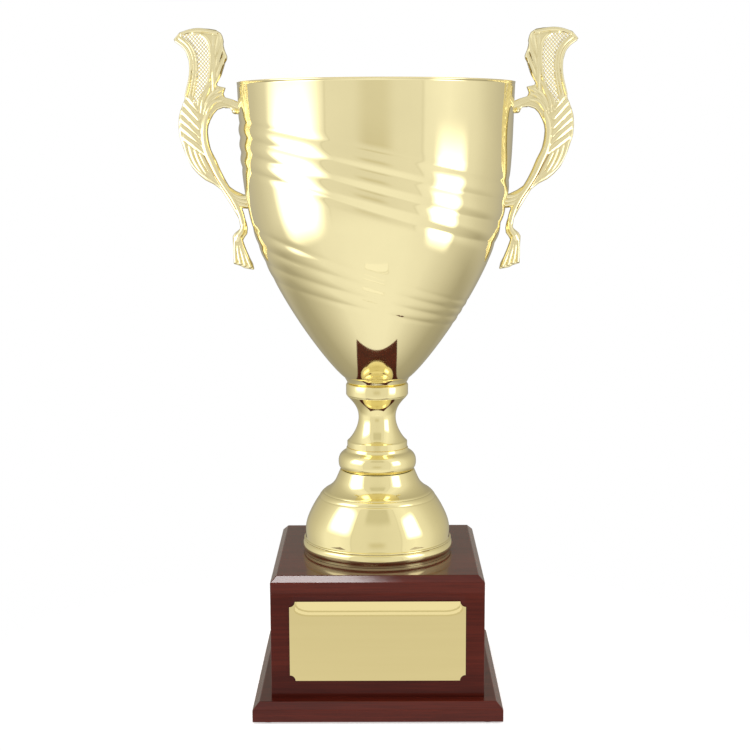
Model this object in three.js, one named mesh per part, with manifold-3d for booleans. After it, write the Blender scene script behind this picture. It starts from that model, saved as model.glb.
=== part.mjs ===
// A presentation cup with two handles, bolted by one tie rod to a square wooden plinth.
// Millimetres, +Z up, origin on the table under the middle of the plinth, nameplate facing -Y.
import * as THREE from "three";
import { mergeVertices } from "three/addons/utils/BufferGeometryUtils.js";
import Module from "manifold-3d";

const wasm = await Module();
wasm.setup();

// Driving dimensions of the plinth
const PAD_RADIUS = 8;
const PAD_THICKNESS = 1.5;
const PAD_INSET = 11;
const BOARD_SIDE = 178;
const BOARD_THICKNESS = 13.6;
const BOARD_CHAMFER = 4.8;
const ACCESS_HOLE_RADIUS = 19;
const BLOCK_SIDE = 152.4;
const PANEL_THICKNESS = 12;
const BLOCK_TOP = 104;
const BLOCK_CHAMFER = 4.4;
const GLUE_BLOCK_SIDE = 16;
const GLUE_BLOCK_LENGTH = 60;
const WOOD_SCREW_RADIUS = 2;
const WOOD_SCREW_HEAD_RADIUS = 4;
const WOOD_SCREW_LENGTH = 32;
const WOOD_SCREW_POINT = 4;

// Driving dimensions of the nameplate
const PLATE_WIDTH = 125.4;
const PLATE_HEIGHT = 58.4;
const PLATE_THICKNESS = 0.8;
const PLATE_NOTCH = 4;
const PLATE_MIDDLE_Z = 57;
const TAPE_THICKNESS = 0.3;
const TAPE_MARGIN = 5;

// Driving dimensions of the foot, the stem and the cup
const FOOT_RADIUS = 56.3;
const FOOT_EDGE_DEPTH = 3;
const FOOT_TOP = 166;
const BEAD_RADIUS = 29;
const BEAD_TOP = 183;
const WAIST_FOOT_RADIUS = 22.4;
const WAIST_FOOT_HEIGHT = 4.6;
const WAIST_TOP = 222;
const COLLAR_RADIUS = 23.1;
const COLLAR_TOP = 231;
const COLLAR_EASE = 0.8;
const RIM_RADIUS = 100.2;
const RIM_TOP = 450.5;
const RIM_HEM = 2.4;
const SHEET = 1.2;

// Driving dimensions of the tie rod and its nuts
const ROD_RADIUS = 4;
const ROD_HOLE_RADIUS = 4.4;
const ROD_LOW = 80;
const ROD_HIGH = 245;
const NUT_HEIGHT = 6.5;
const NUT_CORNER_RADIUS = 13 / Math.sqrt(3);
const WASHER_THICKNESS = 2;
const PLINTH_WASHER_RADIUS = 15;
const CUP_WASHER_RADIUS = 17;

// Driving dimensions of the handles and their screws
const HANDLE_DEPTH = 10;
const FIT_GAP = 0.3;
const HANDLE_SCREW_RADIUS = 1.8;
const HANDLE_SCREW_LENGTH = 12;
const HANDLE_SCREW_HEAD_RADIUS = 3.6;
const HANDLE_SCREW_HEAD_HEIGHT = 2.2;
const HANDLE_WASHER_RADIUS = 4.6;
const HANDLE_WASHER_THICKNESS = 0.8;
const WASHER_GAP = 0.6;
const UPPER_SCREW_Z = 434.5;
const LOWER_SCREW_Z = 366;

// How finely round things are cut
const ROUND = 40;
const SMALL_ROUND = 24;
const BORE_ROUND = 16;

const finish = (color, roughness, metalness) =>
  new THREE.MeshStandardMaterial({ color, roughness, metalness });
const gilt = () => finish(0xe8dca0, 0.08, 1);
const castGilt = () => finish(0xe6d79a, 0.2, 1);
const lacquer = () => finish(0x4a1512, 0.12, 0);
const bareBoard = () => finish(0xb08d62, 0.8, 0);
const zincSteel = () => finish(0xb9bcc0, 0.35, 1);
const felt = () => finish(0x1f1f1f, 0.95, 0);
const tapeFoam = () => finish(0xe6e6e0, 0.7, 0);

// Joins and cuts
const solidOf = (geometry) => {
  const bare = geometry.clone();
  bare.deleteAttribute("normal");
  bare.deleteAttribute("uv");
  const merged = mergeVertices(bare, 1e-3);
  return new wasm.Manifold(
    new wasm.Mesh({
      numProp: 3,
      vertProperties: new Float32Array(merged.attributes.position.array),
      triVerts: new Uint32Array(merged.index.array),
    }),
  );
};
const geometryOf = (solid) => {
  const mesh = solid.getMesh();
  const geometry = new THREE.BufferGeometry();
  geometry.setAttribute("position", new THREE.BufferAttribute(mesh.vertProperties, 3));
  geometry.setIndex(new THREE.BufferAttribute(mesh.triVerts, 1));
  return geometry;
};
const cut = (geometry, ...tools) =>
  geometryOf(tools.reduce((left, tool) => left.subtract(solidOf(tool)), solidOf(geometry)));

// Turned and plain shapes, all standing on the Z axis
const turned = (points, segments = ROUND, start = 0) =>
  new THREE.LatheGeometry(
    points.map(([radius, z]) => new THREE.Vector2(radius, z)),
    segments,
    start,
  ).rotateX(Math.PI / 2);
const ring = (inner, outer, low, high, segments = SMALL_ROUND) =>
  turned([[inner, low], [outer, low], [outer, high], [inner, high], [inner, low]], segments);
const bar = (radius, low, high, segments = SMALL_ROUND) =>
  turned([[0, low], [radius, low], [radius, high], [0, high]], segments);

// A square slab with its top edges chamfered
const slab = (side, low, high, chamfer) => {
  const corner = side / Math.SQRT2;
  const outline = [
    [0, low],
    [corner, low],
    [corner, high - chamfer],
    [corner - chamfer * Math.SQRT2, high],
    [0, high],
  ];
  return turned(outline, 4, Math.PI / 4);
};

const trophy = new THREE.Group();
const place = (name, geometry, material) => {
  const mesh = new THREE.Mesh(geometry, material);
  mesh.name = name;
  trophy.add(mesh);
};

// The four corners of a square, by half its side
const corners = (half) => [
  [-half, -half],
  [half, -half],
  [half, half],
  [-half, half],
];

const BOARD_LOW = PAD_THICKNESS;
const BOARD_HIGH = BOARD_LOW + BOARD_THICKNESS;
const PANEL_LOW = BLOCK_TOP - PANEL_THICKNESS;

// Felt pads
corners(BOARD_SIDE / 2 - PAD_INSET).forEach(([x, y], i) => {
  place("foot_pad_" + (i + 1), bar(PAD_RADIUS, 0, BOARD_LOW).translate(x, y, 0), felt());
});

// Base board, with a hole for the socket that turns the tie rod's nut, and four screws up into
// the glue blocks
const glueBlockCentre = BLOCK_SIDE / 2 - PANEL_THICKNESS - GLUE_BLOCK_SIDE / 2;
const headHigh = BOARD_LOW + WOOD_SCREW_HEAD_RADIUS;
const screwHoles = corners(glueBlockCentre).map(([x, y]) =>
  turned(
    [
      [0, BOARD_LOW - 1],
      [WOOD_SCREW_HEAD_RADIUS + FIT_GAP, BOARD_LOW - 1],
      [WOOD_SCREW_HEAD_RADIUS + FIT_GAP, BOARD_LOW + FIT_GAP],
      [WOOD_SCREW_RADIUS + FIT_GAP, headHigh],
      [WOOD_SCREW_RADIUS + FIT_GAP, BOARD_LOW + WOOD_SCREW_LENGTH + 1],
      [0, BOARD_LOW + WOOD_SCREW_LENGTH + 1],
    ],
    BORE_ROUND,
  ).translate(x, y, 0),
);
place(
  "base_board",
  cut(
    slab(BOARD_SIDE, BOARD_LOW, BOARD_HIGH, BOARD_CHAMFER),
    bar(ACCESS_HOLE_RADIUS, BOARD_LOW - 1, BOARD_HIGH + 1),
    ...screwHoles,
  ),
  lacquer(),
);
corners(glueBlockCentre).forEach(([x, y], i) => {
  const shape = [
    [0, BOARD_LOW],
    [WOOD_SCREW_HEAD_RADIUS, BOARD_LOW],
    [WOOD_SCREW_RADIUS, headHigh - WOOD_SCREW_RADIUS],
    [WOOD_SCREW_RADIUS, BOARD_LOW + WOOD_SCREW_LENGTH - WOOD_SCREW_POINT],
    [0, BOARD_LOW + WOOD_SCREW_LENGTH],
  ];
  place("base_screw_" + (i + 1), turned(shape, 12).translate(x, y, 0), zincSteel());
  const block = new THREE.BoxGeometry(GLUE_BLOCK_SIDE, GLUE_BLOCK_SIDE, GLUE_BLOCK_LENGTH);
  block.translate(x, y, BOARD_HIGH + GLUE_BLOCK_LENGTH / 2);
  place("glue_block_" + (i + 1), cut(block, screwHoles[i]), bareBoard());
});

// Four mitred wall panels
const half = BLOCK_SIDE / 2;
const inside = half - PANEL_THICKNESS;
const wallShape = new THREE.Shape()
  .moveTo(-half, -half)
  .lineTo(half, -half)
  .lineTo(inside, -inside)
  .lineTo(-inside, -inside);
const wall = () =>
  new THREE.ExtrudeGeometry(wallShape, { depth: PANEL_LOW - BOARD_HIGH, bevelEnabled: false });
["front", "right", "back", "left"].forEach((side, i) => {
  const geometry = wall().rotateZ((i * Math.PI) / 2).translate(0, 0, BOARD_HIGH);
  place("plinth_" + side, geometry, lacquer());
});

// Top panel, drilled for the tie rod
place(
  "plinth_top",
  cut(
    slab(BLOCK_SIDE, PANEL_LOW, BLOCK_TOP, BLOCK_CHAMFER),
    bar(ROD_HOLE_RADIUS, PANEL_LOW - 1, BLOCK_TOP + 1, BORE_ROUND),
  ),
  lacquer(),
);

// Nameplate with scooped corners, stuck on with a sheet of double-sided tape
const plateShape = new THREE.Shape();
const plateX = PLATE_WIDTH / 2;
const plateZ = PLATE_HEIGHT / 2;
plateShape.moveTo(-plateX + PLATE_NOTCH, -plateZ);
plateShape.absarc(plateX, -plateZ, PLATE_NOTCH, Math.PI, Math.PI / 2, true);
plateShape.absarc(plateX, plateZ, PLATE_NOTCH, -Math.PI / 2, -Math.PI, true);
plateShape.absarc(-plateX, plateZ, PLATE_NOTCH, 0, -Math.PI / 2, true);
plateShape.absarc(-plateX, -plateZ, PLATE_NOTCH, Math.PI / 2, 0, true);
const standing = (geometry, y) => geometry.rotateX(Math.PI / 2).translate(0, y, PLATE_MIDDLE_Z);
const plate = new THREE.ExtrudeGeometry(plateShape, {
  depth: PLATE_THICKNESS,
  bevelEnabled: false,
  curveSegments: 6,
});
place("nameplate", standing(plate, -half - TAPE_THICKNESS), gilt());
const tape = new THREE.BoxGeometry(
  PLATE_WIDTH - 2 * TAPE_MARGIN,
  PLATE_HEIGHT - 2 * TAPE_MARGIN,
  TAPE_THICKNESS,
);
place("nameplate_tape", standing(tape, -half - TAPE_THICKNESS / 2), tapeFoam());

// A spline through a few points of a profile, as [radius, z] steps
const swept = (points, steps) =>
  new THREE.SplineCurve(points.map(([radius, z]) => new THREE.Vector2(radius, z)))
    .getSpacedPoints(steps)
    .map((p) => [p.x, p.y]);

// The same stretch moved inwards by the thickness of the sheet
const inset = (stretch, thickness) =>
  stretch.map(([radius, z], i) => {
    const before = stretch[Math.max(i - 1, 0)];
    const after = stretch[Math.min(i + 1, stretch.length - 1)];
    const dr = after[0] - before[0];
    const dz = after[1] - before[1];
    const length = Math.hypot(dr, dz);
    return [radius - (dz * thickness) / length, z + (dr * thickness) / length];
  });

// Foot: a dome spun from sheet, with a rolled edge that stands on the plinth
const footEdge = [
  [FOOT_RADIUS - FOOT_EDGE_DEPTH, BLOCK_TOP],
  [FOOT_RADIUS - 0.8, BLOCK_TOP],
  [FOOT_RADIUS - 0.8, BLOCK_TOP + 2.5],
  [FOOT_RADIUS, BLOCK_TOP + 4],
  [FOOT_RADIUS, BLOCK_TOP + 6.5],
  [FOOT_RADIUS - 1, BLOCK_TOP + 8],
];
const footDome = swept(
  [
    [54, BLOCK_TOP + 9],
    [54.2, 121],
    [52.6, 128],
    [49.5, 136],
    [44.6, 145],
    [38.4, 152.8],
    [33.6, 156.4],
    [29.6, 161],
    [27.4, FOOT_TOP - SHEET],
  ],
  11,
);
place(
  "foot_dome",
  turned([
    ...footEdge,
    ...footDome,
    [27, FOOT_TOP],
    [ROD_HOLE_RADIUS, FOOT_TOP],
    [ROD_HOLE_RADIUS, FOOT_TOP - SHEET],
    ...inset(footDome, SHEET).reverse().slice(1),
    [FOOT_RADIUS - FOOT_EDGE_DEPTH, BLOCK_TOP + 7],
    [FOOT_RADIUS - FOOT_EDGE_DEPTH, BLOCK_TOP],
  ]),
  gilt(),
);

// Stem: bead, waist and collar, threaded over the tie rod
const bored = (outer) => {
  const low = outer[0][1];
  const high = outer[outer.length - 1][1];
  return turned([[ROD_HOLE_RADIUS, low], ...outer, [ROD_HOLE_RADIUS, high], [ROD_HOLE_RADIUS, low]], 32);
};
place(
  "stem_bead",
  bored([
    ...swept([[26, FOOT_TOP], [28.4, FOOT_TOP + 2.5], [BEAD_RADIUS, 172], [27.4, 178], [23.6, 180.5]], 9),
    [22.8, BEAD_TOP],
  ]),
  gilt(),
);
place(
  "stem_waist",
  bored([
    [WAIST_FOOT_RADIUS, BEAD_TOP],
    [WAIST_FOOT_RADIUS, BEAD_TOP + WAIST_FOOT_HEIGHT],
    ...swept([[21.6, 188], [16.1, 196], [13.8, 206], [16.9, 216], [22.6, WAIST_TOP]], 12),
  ]),
  gilt(),
);
place(
  "cup_collar",
  bored([
    [COLLAR_RADIUS - COLLAR_EASE, WAIST_TOP],
    [COLLAR_RADIUS, WAIST_TOP + COLLAR_EASE],
    [COLLAR_RADIUS, COLLAR_TOP - COLLAR_EASE],
    [COLLAR_RADIUS - COLLAR_EASE, COLLAR_TOP],
  ]),
  gilt(),
);

// Cup: spun from sheet, with a hemmed rim, a flat bottom on the collar and screw holes
const cupWall = swept(
  [
    [22, COLLAR_TOP + 0.4],
    [24.5, 236],
    [33.4, 245],
    [45.4, 260],
    [59.3, 280],
    [71.2, 300],
    [80.5, 320],
    [88.6, 340],
    [93.7, 360],
    [96.6, 380],
    [98.2, 400],
    [99.3, 420],
    [99.9, 440],
    [RIM_RADIUS - 0.2, RIM_TOP - RIM_HEM],
  ],
  18,
);
const cupSkin = (offset) => inset(cupWall, -offset);
const cupBlank = turned([
  [ROD_HOLE_RADIUS, COLLAR_TOP],
  [21, COLLAR_TOP],
  ...cupWall,
  [RIM_RADIUS + 0.5, RIM_TOP - RIM_HEM + 0.5],
  [RIM_RADIUS + 0.5, RIM_TOP],
  [RIM_RADIUS - RIM_HEM + 0.5, RIM_TOP],
  ...inset(cupWall, SHEET).reverse(),
  [20.5, COLLAR_TOP + SHEET],
  [ROD_HOLE_RADIUS, COLLAR_TOP + SHEET],
  [ROD_HOLE_RADIUS, COLLAR_TOP],
]);

// Radius of the cup's outside at a height
const cupRadius = (z) => {
  const i = cupWall.findIndex((p) => p[1] > z);
  const [r0, z0] = cupWall[i - 1];
  const [r1, z1] = cupWall[i];
  return r0 + ((r1 - r0) * (z - z0)) / (z1 - z0);
};

// Puts a shape that stands on the Z axis on the cup's wall instead, square to the sheet and
// pointing outwards
const onWall = (geometry, z, side) => {
  const tilt = Math.atan2(cupRadius(z + 3) - cupRadius(z - 3), 6);
  geometry.rotateY(Math.PI / 2 + tilt);
  geometry.translate(cupRadius(z), 0, z);
  return side > 0 ? geometry : geometry.rotateZ(Math.PI);
};
const screwPlaces = [
  ["upper_right", UPPER_SCREW_Z, 1],
  ["lower_right", LOWER_SCREW_Z, 1],
  ["upper_left", UPPER_SCREW_Z, -1],
  ["lower_left", LOWER_SCREW_Z, -1],
];
const screwBore = (z, side) =>
  onWall(bar(HANDLE_SCREW_RADIUS + FIT_GAP, -3, HANDLE_SCREW_LENGTH, 12), z, side);
place("cup", cut(cupBlank, ...screwPlaces.map(([, z, side]) => screwBore(z, side))), gilt());

// Handles: flat castings whose ends are cut to the cup's round. The outline starts at the
// upper screw's arm, goes down the inside of the grip, round the small foot and back up the
// outside to the crest.
const handleShape = new THREE.Shape().moveTo(96, 430);
const curveThrough = (...points) =>
  handleShape.splineThru(points.map(([x, z]) => new THREE.Vector2(x, z)));
curveThrough([103, 429.6], [110, 433.2], [118.5, 428], [122.3, 416], [119, 398], [110, 380], [106, 376]);
handleShape.quadraticCurveTo(101, 371.5, 92, 371);
handleShape.lineTo(92, 361);
handleShape.lineTo(98.4, 360.5);
handleShape.quadraticCurveTo(92, 343, 95.5, 341.5);
handleShape.lineTo(98.5, 336.5);
handleShape.lineTo(89.5, 316.5);
handleShape.quadraticCurveTo(97, 315, 105.5, 320);
handleShape.lineTo(105, 340);
handleShape.lineTo(99.8, 345);
handleShape.lineTo(100, 352);
curveThrough([109, 367], [117.5, 377.5], [129.5, 385.5], [137.5, 397], [143, 415], [142.6, 428], [138, 441]);
curveThrough([134.6, 455], [135, 467], [139, 477], [145.8, 481]);
handleShape.lineTo(141, 487);
curveThrough([127, 490], [114.5, 488], [109.5, 480], [107.6, 468], [114.5, 453]);
handleShape.lineTo(109, 447.8);
handleShape.lineTo(110, 440);
handleShape.quadraticCurveTo(103, 439.5, 96, 438);
const handleBlank = () =>
  new THREE.ExtrudeGeometry(handleShape, {
    depth: HANDLE_DEPTH,
    bevelEnabled: false,
    curveSegments: 5,
  })
    .rotateX(Math.PI / 2)
    .translate(0, HANDLE_DEPTH / 2, 0);
const cupSpace = turned([[0, COLLAR_TOP], ...cupSkin(FIT_GAP), [0, RIM_TOP]], 80);
[["handle_right", 1], ["handle_left", -1]].forEach(([name, side]) => {
  const blank = side > 0 ? handleBlank() : handleBlank().rotateZ(Math.PI);
  const bores = [UPPER_SCREW_Z, LOWER_SCREW_Z].map((z) => screwBore(z, side));
  place(name, cut(blank, cupSpace, ...bores), castGilt());
});

// Screws and washers inside the cup that hold the handles
screwPlaces.forEach(([name, z, side]) => {
  const washerHigh = -SHEET - WASHER_GAP;
  const washerLow = washerHigh - HANDLE_WASHER_THICKNESS;
  const headLow = washerLow - HANDLE_SCREW_HEAD_HEIGHT;
  const washer = ring(HANDLE_SCREW_RADIUS + FIT_GAP, HANDLE_WASHER_RADIUS, washerLow, washerHigh, BORE_ROUND);
  place("handle_washer_" + name, onWall(washer, z, side), zincSteel());
  const screw = turned(
    [
      [0, headLow],
      [HANDLE_SCREW_HEAD_RADIUS * 0.7, headLow],
      [HANDLE_SCREW_HEAD_RADIUS, headLow + 1],
      [HANDLE_SCREW_HEAD_RADIUS, washerLow],
      [HANDLE_SCREW_RADIUS, washerLow],
      [HANDLE_SCREW_RADIUS, HANDLE_SCREW_LENGTH - 2],
      [0, HANDLE_SCREW_LENGTH - 1],
    ],
    BORE_ROUND,
  );
  place("handle_screw_" + name, onWall(screw, z, side), zincSteel());
});

// Tie rod from the plinth up into the cup, with a nut and a washer at each end
place("tie_rod", bar(ROD_RADIUS, ROD_LOW, ROD_HIGH, BORE_ROUND), zincSteel());
const nut = (low) =>
  cut(
    turned(
      [
        [0, low],
        [NUT_CORNER_RADIUS, low],
        [NUT_CORNER_RADIUS, low + NUT_HEIGHT],
        [0, low + NUT_HEIGHT],
      ],
      6,
    ),
    bar(ROD_RADIUS + FIT_GAP, low - 1, low + NUT_HEIGHT + 1, BORE_ROUND),
  );
const plinthWasherLow = PANEL_LOW - WASHER_THICKNESS;
const cupWasherLow = COLLAR_TOP + SHEET;
place(
  "plinth_washer",
  ring(ROD_HOLE_RADIUS, PLINTH_WASHER_RADIUS, plinthWasherLow, PANEL_LOW),
  zincSteel(),
);
place("plinth_nut", nut(plinthWasherLow - NUT_HEIGHT), zincSteel());
place(
  "cup_washer",
  ring(ROD_HOLE_RADIUS, CUP_WASHER_RADIUS, cupWasherLow, cupWasherLow + WASHER_THICKNESS),
  zincSteel(),
);
place("cup_nut", nut(cupWasherLow + WASHER_THICKNESS), zincSteel());

export default trophy;
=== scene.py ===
import math

import bpy
import numpy as np
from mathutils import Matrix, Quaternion, Vector


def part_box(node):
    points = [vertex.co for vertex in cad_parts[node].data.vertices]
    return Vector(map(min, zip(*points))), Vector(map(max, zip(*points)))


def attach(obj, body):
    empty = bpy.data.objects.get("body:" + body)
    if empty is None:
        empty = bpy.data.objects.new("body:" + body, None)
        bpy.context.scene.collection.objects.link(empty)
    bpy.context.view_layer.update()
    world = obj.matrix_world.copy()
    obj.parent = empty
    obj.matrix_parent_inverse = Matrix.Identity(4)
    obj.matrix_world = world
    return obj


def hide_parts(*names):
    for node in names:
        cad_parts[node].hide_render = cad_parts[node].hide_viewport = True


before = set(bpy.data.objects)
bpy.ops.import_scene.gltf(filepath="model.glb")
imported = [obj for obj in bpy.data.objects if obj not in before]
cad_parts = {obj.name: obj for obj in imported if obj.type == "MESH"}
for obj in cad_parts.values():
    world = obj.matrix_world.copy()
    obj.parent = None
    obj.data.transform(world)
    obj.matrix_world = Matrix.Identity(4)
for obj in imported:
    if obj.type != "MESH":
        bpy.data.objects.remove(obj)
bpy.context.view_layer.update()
bpy.ops.object.select_all(action="DESELECT")
MM = 0.001


# ---- Felt pads ----------------------------------------------------------------------------
# Four discs punched from wool felt, glued under the corners of the base board. They are all
# that touches the table.

def settle(piece, name):
    """Gives a finished piece its name and puts its origin at the world's, unturned and unscaled."""
    bpy.ops.object.select_all(action="DESELECT")
    piece.select_set(True)
    bpy.context.view_layer.objects.active = piece
    bpy.ops.object.transform_apply(location=True, rotation=True, scale=True)
    bpy.ops.object.select_all(action="DESELECT")
    piece.name = name
    piece.data.name = name
    return piece


def copy_of(piece):
    """A second piece of the same shape, with a mesh of its own."""
    twin = piece.copy()
    twin.data = piece.data.copy()
    bpy.context.collection.objects.link(twin)
    return twin


def pick(piece, kind, test):
    """Opens the piece in edit mode with just the vertices, edges or faces that pass the test selected."""
    bpy.context.view_layer.objects.active = piece
    bpy.ops.object.mode_set(mode="EDIT")
    bpy.ops.mesh.select_mode(type=kind)
    bpy.ops.mesh.select_all(action="DESELECT")
    bpy.ops.object.mode_set(mode="OBJECT")
    mesh = piece.data
    if kind == "VERT":
        for vertex in mesh.vertices:
            vertex.select = test(vertex.co)
    if kind == "EDGE":
        for edge in mesh.edges:
            edge.select = test(*[mesh.vertices[i].co for i in edge.vertices])
    if kind == "FACE":
        for face in mesh.polygons:
            face.select = test(face.center, face.normal)
    bpy.ops.object.mode_set(mode="EDIT")


def close_edit(angle=35):
    """Leaves edit mode and shades the piece smooth, with creases above the angle."""
    bpy.ops.object.mode_set(mode="OBJECT")
    bpy.ops.object.shade_smooth_by_angle(angle=math.radians(angle))


def shader(name):
    """A new material, with its node tree and its Principled shader."""
    material = bpy.data.materials.new(name)
    material.use_nodes = True
    return material, material.node_tree, material.node_tree.nodes["Principled BSDF"]


def node(tree, kind, inputs=(), **settings):
    """Adds a node, sets its properties, and sets or links its inputs by name or number."""
    made = tree.nodes.new(kind)
    for key, value in settings.items():
        setattr(made, key, value)
    for key, value in dict(inputs).items():
        if isinstance(value, bpy.types.NodeSocket):
            tree.links.new(value, made.inputs[key])
        else:
            made.inputs[key].default_value = value
    return made


def ramp(tree, factor, stops):
    """A colour ramp with the given (place, colour) stops."""
    made = node(tree, "ShaderNodeValToRGB", {"Fac": factor})
    elements = made.color_ramp.elements
    while len(elements) < len(stops):
        elements.new(0.5)
    for element, (place, color) in zip(elements, stops):
        element.position = place
        element.color = (*color, 1) if len(color) == 3 else color
    return made.outputs["Color"]


def spots(tree, scale, detail=2.0, stretch=(1, 1, 1)):
    """Noise in the piece's own space, in spots of about 1 / scale metres, drawn out by stretch."""
    place = node(tree, "ShaderNodeTexCoord").outputs["Object"]
    drawn = node(tree, "ShaderNodeMapping", {"Vector": place, "Scale": stretch})
    noise = node(
        tree, "ShaderNodeTexNoise", {"Vector": drawn.outputs[0], "Scale": scale, "Detail": detail}
    )
    return noise.outputs["Fac"]


def raised(tree, height, distance, strength=1.0):
    """A bump from a height, distance metres deep."""
    bump = node(tree, "ShaderNodeBump", {"Height": height, "Distance": distance, "Strength": strength})
    return bump.outputs["Normal"]


felt, tree, surface = shader("black_felt")
fibres = spots(tree, 2500, 3)
tree.links.new(ramp(tree, fibres, [(0.3, (0.012, 0.012, 0.013)), (0.75, (0.05, 0.05, 0.052))]),
               surface.inputs["Base Color"])
surface.inputs["Roughness"].default_value = 0.95
surface.inputs["Sheen Weight"].default_value = 0.4
tree.links.new(raised(tree, fibres, 0.0003), surface.inputs["Normal"])

low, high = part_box("foot_pad_1")
pad_radius = (high.x - low.x) / 2
bpy.ops.mesh.primitive_cylinder_add(
    vertices=48,
    radius=pad_radius,
    depth=high.z - low.z,
    location=((low.x + high.x) / 2, (low.y + high.y) / 2, (low.z + high.z) / 2),
)
first_pad = settle(bpy.context.object, "first_pad")
pick(first_pad, "EDGE", lambda a, b: abs(a.z - b.z) < 1e-5)
bpy.ops.mesh.bevel(offset=0.3 * MM, segments=3, affect="EDGES")
close_edit()
for i in range(1, 5):
    pad = copy_of(first_pad)
    pad.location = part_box(f"foot_pad_{i}")[0] - low
    settle(pad, f"felt_pad_{i}")
    pad.data.materials.append(felt)
    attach(pad, "root")
    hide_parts(f"foot_pad_{i}")
bpy.data.objects.remove(first_pad)


# ---- Base board ---------------------------------------------------------------------------
# A square of fibre board, chamfered all round its top, veneered and sprayed with mahogany
# polyester lacquer. Four screws hold it under the walls, and a hole lets a socket reach the nut.

def rod(radius, low_z, high_z, x=0.0, y=0.0, top_radius=None):
    """A round bar between two heights, tapered if it has a top radius."""
    bpy.ops.mesh.primitive_cone_add(
        vertices=48,
        radius1=radius,
        radius2=radius if top_radius is None else top_radius,
        depth=high_z - low_z,
        location=(x, y, (low_z + high_z) / 2),
    )
    return settle(bpy.context.object, "rod")


def apply(piece, kind, **settings):
    """Adds a modifier with these settings and applies it."""
    bpy.ops.object.select_all(action="DESELECT")
    bpy.context.view_layer.objects.active = piece
    made = piece.modifiers.new(kind.title(), kind)
    for key, value in settings.items():
        setattr(made, key, value)
    bpy.ops.object.modifier_apply(modifier=made.name)


def bore(piece, *cutters):
    """Cuts the cutters out of the piece, and throws them away."""
    for cutter in cutters:
        apply(piece, "BOOLEAN", operation="DIFFERENCE", object=cutter, solver="EXACT")
        bpy.data.objects.remove(cutter)


def slab(low, high, chamfer, ease):
    """A square board with its top edges chamfered, and all but its lower edges eased by sanding."""
    bpy.ops.mesh.primitive_cube_add(size=1, location=(low + high) / 2, scale=high - low)
    board = settle(bpy.context.object, "board")
    pick(board, "EDGE", lambda a, b: min(a.z, b.z) > high.z - 1e-5)
    bpy.ops.mesh.bevel(offset=chamfer, segments=1, affect="EDGES")
    bpy.ops.object.mode_set(mode="OBJECT")
    pick(board, "EDGE", lambda a, b: max(a.z, b.z) > low.z + 1e-5)
    bpy.ops.mesh.bevel(offset=ease, segments=3, profile=0.5, affect="EDGES")
    close_edit(30)
    return board


def lacquer(name, drawn, coat_ior):
    """Stained mahogany veneer under clear gloss lacquer; drawn is true on the axis its grain runs along."""
    material, tree, surface = shader(name)
    figure = spots(tree, 9, 4, [0.5 if d else 8 for d in drawn])
    pores = spots(tree, 260, 2, [0.12 if d else 3 for d in drawn])
    stain = ramp(tree, figure, [(0.32, (0.064, 0.006, 0.0025)), (0.5, (0.083, 0.009, 0.0038)),
                                (0.7, (0.105, 0.013, 0.006))])
    fine = ramp(tree, pores, [(0.42, (0.8, 0.8, 0.8)), (0.6, (1.0, 1.0, 1.0))])
    grain = node(tree, "ShaderNodeMix", {0: 1.0, 6: stain, 7: fine}, data_type="RGBA", blend_type="MULTIPLY")
    tree.links.new(grain.outputs[2], surface.inputs["Base Color"])
    surface.inputs["Roughness"].default_value = 0.38
    surface.inputs["Specular IOR Level"].default_value = 0.05
    surface.inputs["Coat Weight"].default_value = 1.0
    surface.inputs["Coat Roughness"].default_value = 0.03
    surface.inputs["Coat IOR"].default_value = coat_ior
    tree.links.new(raised(tree, spots(tree, 90, 2), 0.00002), surface.inputs["Coat Normal"])
    return material


LEVEL_GLOSS = 1.31
mahogany = lacquer("mahogany_lacquer", (True, False, False), LEVEL_GLOSS)
BOARD_CHAMFER = 4.8 * MM
EASE = 0.45 * MM
SOCKET_HOLE = 19 * MM
board_low, board_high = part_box("base_board")
base = slab(board_low, board_high, BOARD_CHAMFER, EASE)
bore(base, rod(SOCKET_HOLE, board_low.z - MM, board_high.z + MM))
for i in range(1, 5):
    low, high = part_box(f"base_screw_{i}")
    middle = (low + high) / 2
    head = (high.x - low.x) / 2
    bore(base, rod(head + 0.3 * MM, low.z - MM, low.z + head * 0.6, middle.x, middle.y, head * 0.45))
settle(base, "lacquered_base_board")
base.data.materials.append(mahogany)
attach(base, "root")
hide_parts("base_board")


# ---- Wood screws and glue blocks ----------------------------------------------------------
# Four zinc plated countersunk screws go up through the base board into sawn softwood blocks,
# which are glued into the corners inside the plinth. The blocks don't show.

def stand_for(piece, name, slot, *nodes):
    """Fixes a finished piece to the root body, in the place of its CAD nodes."""
    settle(piece, name)
    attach(piece, "root")
    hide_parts(*nodes)


def coat(material, *names):
    """Gives CAD nodes that keep their own shape a finished material."""
    for name in names:
        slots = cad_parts[name].data.materials
        slots.clear()
        slots.append(material)


zinc, tree, surface = shader("zinc_plate")
clouds = spots(tree, 400, 3)
tree.links.new(ramp(tree, clouds, [(0.3, (0.52, 0.53, 0.55)), (0.7, (0.68, 0.69, 0.7))]),
               surface.inputs["Base Color"])
tree.links.new(ramp(tree, spots(tree, 1500, 2), [(0.3, (0.22, 0.22, 0.22)), (0.7, (0.4, 0.4, 0.4))]),
               surface.inputs["Roughness"])
surface.inputs["Metallic"].default_value = 1.0
tree.links.new(raised(tree, clouds, 0.00002), surface.inputs["Normal"])

softwood, tree, surface = shader("sawn_softwood")
rings = spots(tree, 120, 3, (1, 1, 0.06))
tree.links.new(ramp(tree, rings, [(0.35, (0.3, 0.17, 0.08)), (0.65, (0.52, 0.35, 0.19))]),
               surface.inputs["Base Color"])
surface.inputs["Roughness"].default_value = 0.85
tree.links.new(raised(tree, rings, 0.0002), surface.inputs["Normal"])
coat(softwood, *[f"glue_block_{i}" for i in range(1, 5)])

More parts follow.
